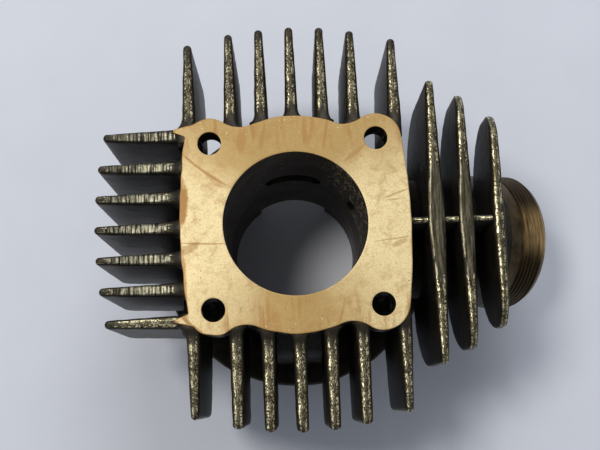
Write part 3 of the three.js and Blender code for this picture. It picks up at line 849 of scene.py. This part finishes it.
def ribs():
    rib = {"columns": 10, "rows": 24, "intoFin": 1.2 * mm, "sag": 0.8 * mm, "overAxis": 17 * mm,
           "plump": 1.4, "topShare": 0.25, "waveSize": 1.6 * mm, "wave": 0.2 * mm,
           "crestSize": 1.2 * mm, "crestWave": 0.3 * mm}
    for number, word in enumerate(("inner", "middle", "outer")):
        low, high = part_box(f"rib_{word}")
        start, stop = low[0] - rib["intoFin"], high[0] + rib["intoFin"]
        top = high[2]
        half = (high[1] - low[1]) / 2

        def spot(column, row, side, start=start, stop=stop, top=top, half=half, number=number):
            share = column / rib["columns"]
            x = lerp(start, stop, share)
            crest = top - rib["sag"] * sin(pi * share)
            foot = axisHeight(x) + rib["overAxis"] / exhaustDir.x
            z = lerp(foot, crest, row / rib["rows"])
            rim = crest - z
            thick = side * half * rib["plump"] * max(rib["topShare"], roundHalf(rim))
            thick += wobble((x, z, number), rib["waveSize"], rib["wave"], side)
            fade = 1 - smooth(0, 1 * mm, rim)
            z += wobble((x, z, number * 3), rib["crestSize"], rib["crestWave"], 6) * fade
            # the rib crest gets the rubbed-metal and painted glint share
            return (x, thick, min(z, top)), 1 - smooth(0.2 * mm, 0.9 * mm, rim), 0

        bm = sheetBody(rib["columns"], rib["rows"], spot)
        finish(f"rib{word.capitalize()}", bm, [rawCross], f"rib_{word}", sharp=70)


exhaustFins()
ribs()
print("exhaust fins done")


# barrel wall, flange, spigot and transfer ducts
def roundedWindow(half, low, high, corner, steps=4):
    points = []
    for number, (u, z) in enumerate(((half - corner, high - corner), (corner - half, high - corner),
                                     (corner - half, low + corner), (half - corner, low + corner))):
        points += arc(u, z, corner, number * pi / 2, (number + 1) * pi / 2, steps)
    return points


def cutWindow(bm, axis, outline, openBelow=False):
    # a window through a ring on the side that axis points to; outline is convex, as (beside, height)
    axis = Vector(axis)
    beside = Vector((-axis.y, axis.x, 0))
    up = Vector((0, 0, 1))
    half = max(u for u, z in outline)
    low = min(z for u, z in outline)
    high = max(z for u, z in outline)

    def within(f):
        middle = f.calc_center_median()
        return middle.dot(axis) > 0 and abs(middle.dot(beside)) < half and low < middle.z < high

    def cutAlong(faces, point, normal):
        geom = set(faces)
        for f in faces:
            geom.update(f.edges)
            geom.update(f.verts)
        bmesh.ops.bisect_plane(bm, geom=list(geom), dist=1e-7, plane_co=point, plane_no=normal)

    limits = ((beside * half, beside), (-beside * half, beside), (up * high, up), (up * low, up))
    for point, normal in limits:
        cutAlong([f for f in bm.faces if f.calc_center_median().dot(axis) > 0], point, normal)
    sides = list(zip(outline, outline[1:] + outline[:1]))
    for (u0, z0), (u1, z1) in sides:
        if abs(u1 - u0) > 1e-7 and abs(z1 - z0) > 1e-7:
            slope = (beside * (u1 - u0) + up * (z1 - z0)).cross(axis).normalized()
            cutAlong([f for f in bm.faces if within(f)], beside * u0 + up * z0, slope)

    def inside(f):
        middle = f.calc_center_median()
        u, z = middle.dot(beside), middle.z
        return within(f) and all((u1 - u0) * (z - z0) - (z1 - z0) * (u - u0) > 0
                                 for (u0, z0), (u1, z1) in sides if hypot(u1 - u0, z1 - z0) > 1e-7)

    bmesh.ops.delete(bm, geom=[f for f in bm.faces if inside(f)], context="FACES")
    rim = [e for e in bm.edges if e.is_boundary and not (openBelow and all(v.co.z < 1e-6 for v in e.verts))]
    bmesh.ops.bridge_loops(bm, edges=rim)
    bmesh.ops.remove_doubles(bm, verts=bm.verts[:], dist=1e-7)
    loose = {v for e in bm.edges if e.is_boundary for v in e.verts}
    weld = {}
    for e in [e for e in bm.edges if e.is_boundary]:  # an edge beside two shorter ones is split to fit them
        a, b = e.verts
        span = (b.co - a.co).length
        meets = [v for v in loose - {a, b} if (v.co - a.co).length + (v.co - b.co).length < span + 1e-7]
        if meets:
            split = bmesh.utils.edge_split(e, a, (meets[0].co - a.co).length / span)
            weld[split[1]] = meets[0]
    bmesh.ops.weld_verts(bm, targetmap=weld)
    around = {f for v in weld.values() for f in v.link_faces}
    bmesh.ops.triangulate(bm, faces=list(around), quad_method="BEAUTY", ngon_method="BEAUTY")


def buildWall():
    transfer = {"half": 8.5 * mm, "low": 38.7 * mm, "high": 47 * mm, "corner": 3.4 * mm}
    outlet = {"half": 12 * mm, "low": 38.5 * mm, "high": 51.5 * mm, "corner": 3.5 * mm}
    neck = bore["radius"] + 3 * mm
    low = flangeLow[2]
    lip = deckTop - bore["lipDrop"]
    footCurve = [(2.2 * mm, -0.2 * mm), (1 * mm, 0.9 * mm), (0.2 * mm, 2.4 * mm), (0, 4 * mm)]
    plateCurve = [(0, -3 * mm), (0.8 * mm, -0.8 * mm), (2.4 * mm, 0.5 * mm)]
    profile = ([(bore["radius"], low), (wallRadius, low)]
               + [(wallRadius + out, flangeHigh[2] + rise) for out, rise in footCurve]
               + [(wallRadius + out, deckUnder + rise) for out, rise in plateCurve]
               + [(neck, deckUnder + 1 * mm), (neck, lip), (bore["radius"], lip)])
    bm = spun(profile, bore["steps"])
    for port, axis in ((transfer, (0, 1, 0)), (transfer, (0, -1, 0)), (outlet, (1, 0, 0))):
        cutWindow(bm, axis, roundedWindow(**port))
    for item in bm.faces:
        middle = item.calc_center_median()
        item.material_index = 0 if middle.xy.length < bore["radius"] + 0.1 * mm else 1
    finish("barrelWall", toBoreAxis(bm), [boreSkin, raw], "barrel_wall", sharp=35)


def buildFlange():
    flange = {"steps": 180, "innerSteps": 96, "inside": 0.25 * mm, "intoWall": 2 * mm, "waveSize": 8 * mm,
              "wave": 0.4 * mm, "topEdge": 0.9 * mm, "lowEdge": 0.3 * mm}
    outline = []
    for x, y in arc(0, 0, flangeRadius - flange["inside"], 0, 2 * pi, flange["steps"])[:-1]:
        push = 1 + wobble((x, y, 0), flange["waveSize"], flange["wave"], 8) / flangeRadius
        outline.append((boreX + x * push, y * push))
    mouth = arc(boreX, 0, wallRadius - flange["intoWall"], 0, 2 * pi, flange["innerSteps"])[:-1]
    bm = flatPlate([outline, mouth] + studHoles(), flangeHigh[2], flangeLow[2])
    bevelEdges(bm, rimEdges(bm, flangeHigh[2]), flange["topEdge"], 3)
    bevelEdges(bm, rimEdges(bm, flangeLow[2]), flange["lowEdge"])
    for item in bm.faces:
        item.material_index = 1 if item.normal.z < -0.6 else 0
    finish("baseFlange", bm, [raw, turnedSkin], "base_flange", sharp=50)


def buildSpigot():
    notch = {"half": 11 * mm, "height": 6 * mm}
    outer = (spigotHigh[0] - spigotLow[0]) / 2
    low, high = spigotLow[2], spigotHigh[2]
    profile = [(bore["radius"] + 0.3 * mm, low), (outer - 0.6 * mm, low), (outer, low + 0.6 * mm),
               (outer, high), (bore["radius"], high), (bore["radius"], low + 0.3 * mm)]
    bm = spun(profile, bore["steps"])
    half, ceiling, below = notch["half"], low + notch["height"], low - 1 * mm
    outline = [(half, below), (half, ceiling), (-half, ceiling), (-half, below)]
    cutWindow(bm, (0, 1, 0), outline, openBelow=True)
    cutWindow(bm, (0, -1, 0), outline, openBelow=True)
    finish("spigotSkirt", toBoreAxis(bm), [boreSkin], "spigot", sharp=35)


def buildTransferDucts():
    duct = {"intoWall": 4 * mm, "drop": 13.5 * mm, "lean": 1.5 * mm, "edge": 3 * mm, "thickness": 3.2 * mm}
    near = wallRadius - duct["intoWall"]
    for word, sign in (("back", 1), ("front", -1)):
        node = f"transfer_duct_{word}"
        low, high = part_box(node)
        half = (high[0] - low[0]) / 2
        out = high[1] if sign > 0 else -low[1]
        floor, top = low[2], high[2]
        side = [(near, floor), (out, floor), (out - duct["lean"], top - duct["drop"]), (near, top)]
        bm = bmesh.new()
        verts = [bm.verts.new((-half, y, z)) for y, z in side]
        start = bm.faces.new(verts)
        made = bmesh.ops.extrude_face_region(bm, geom=[start], use_keep_orig=True)
        far = [v for v in made["geom"] if isinstance(v, bmesh.types.BMVert)]
        bmesh.ops.translate(bm, vec=(2 * half, 0, 0), verts=far)
        bmesh.ops.recalc_face_normals(bm, faces=bm.faces[:])
        hidden = [f for f in bm.faces if f.normal.z < -0.9 or f.normal.y < -0.9]
        bmesh.ops.delete(bm, geom=hidden, context="FACES")
        bevelEdges(bm, [e for e in bm.edges if not e.is_boundary], duct["edge"], 5)
        bmesh.ops.remove_doubles(bm, verts=bm.verts[:], dist=1e-6)
        bmesh.ops.recalc_face_normals(bm, faces=bm.faces[:])
        if sum(f.calc_center_median().y * f.normal.y * f.calc_area() for f in bm.faces) < 0:
            bmesh.ops.reverse_faces(bm, faces=bm.faces[:])
        bmesh.ops.solidify(bm, geom=bm.faces[:], thickness=duct["thickness"])
        for vert in bm.verts:
            vert.co.y *= sign
            vert.co.x += boreX
        finish(f"transferDuct{word.capitalize()}", bm, [raw], node, sharp=50)


buildWall()
buildFlange()
buildSpigot()
buildTransferDucts()
print("barrel done")


# stage, lights and camera
def buildStage():
    floor = {"size": 3.0, "pale": (0.75, 0.77, 0.83), "shade": (0.72, 0.74, 0.80), "roughness": 0.85,
             "drop": 0.2 * mm}
    bm = bmesh.new()
    bmesh.ops.create_grid(bm, x_segments=2, y_segments=2, size=floor["size"])
    bmesh.ops.translate(bm, vec=(0, 0, -floor["drop"]), verts=bm.verts[:])
    mesh = bpy.data.meshes.new("floor")
    bm.to_mesh(mesh)
    bm.free()
    material, tree, shader = newMaterial("floorPaper")
    cloth = noiseAt(tree, objectPlace(tree), 40, 3, 0.5)
    link(tree, ramp(tree, cloth, (0.3, floor["shade"]), (0.7, floor["pale"])), shader, "Base Color")
    shader.inputs["Roughness"].default_value = floor["roughness"]
    mesh.materials.append(material)
    stage = bpy.data.objects.new("floor", mesh)
    bpy.context.scene.collection.objects.link(stage)


def areaLight(name, place, aim, size, power, colour):
    data = bpy.data.lights.new(name, "AREA")
    data.shape = "DISK"
    data.size = size
    data.energy = power
    data.color = colour
    lamp = bpy.data.objects.new(name, data)
    bpy.context.scene.collection.objects.link(lamp)
    lamp.location = place
    lamp.rotation_euler = (Vector(aim) - Vector(place)).to_track_quat("-Z", "Y").to_euler()


def buildLights():
    aim = (0, 0, deckTop * 0.6)
    areaLight("keyLight", (-0.32, 0.14, 0.95), aim, 0.22, 3.6, (1.0, 0.98, 0.94))
    areaLight("backLight", (0.12, 0.75, 0.75), aim, 0.6, 4.2, (0.95, 0.97, 1.0))
    studio = {"colour": (0.85, 0.9, 1.0, 1), "strength": 0.30}
    world = bpy.data.worlds.new("studio")
    bpy.context.scene.world = world
    world.use_nodes = True
    background = world.node_tree.nodes["Background"]
    background.inputs["Color"].default_value = studio["colour"]
    background.inputs["Strength"].default_value = studio["strength"]
    bpy.context.scene.view_settings.view_transform = "Standard"


def buildCamera():
    view = {"lens": 63.66, "sensor": 36, "tilt": 9.42, "lean": -0.42, "roll": -2.16,
            "right": -1.22 * mm, "up": 0.64 * mm, "distance": 291.6 * mm}
    data = bpy.data.cameras.new("camera")
    data.lens = view["lens"]
    data.sensor_width = view["sensor"]
    data.clip_start = 0.01
    camera = bpy.data.objects.new("camera", data)
    bpy.context.scene.collection.objects.link(camera)
    turn = (Matrix.Rotation(radians(view["roll"]), 3, "Z") @ Matrix.Rotation(radians(view["lean"]), 3, "Y")
            @ Matrix.Rotation(radians(view["tilt"]), 3, "X"))
    back = turn @ Vector((-view["right"], -view["up"], view["distance"]))
    camera.matrix_world = Matrix.Translation(Vector((boreX, 0, deckTop)) + back) @ turn.to_4x4()
    bpy.context.scene.camera = camera


buildStage()
buildLights()
buildCamera()
print("stage done")
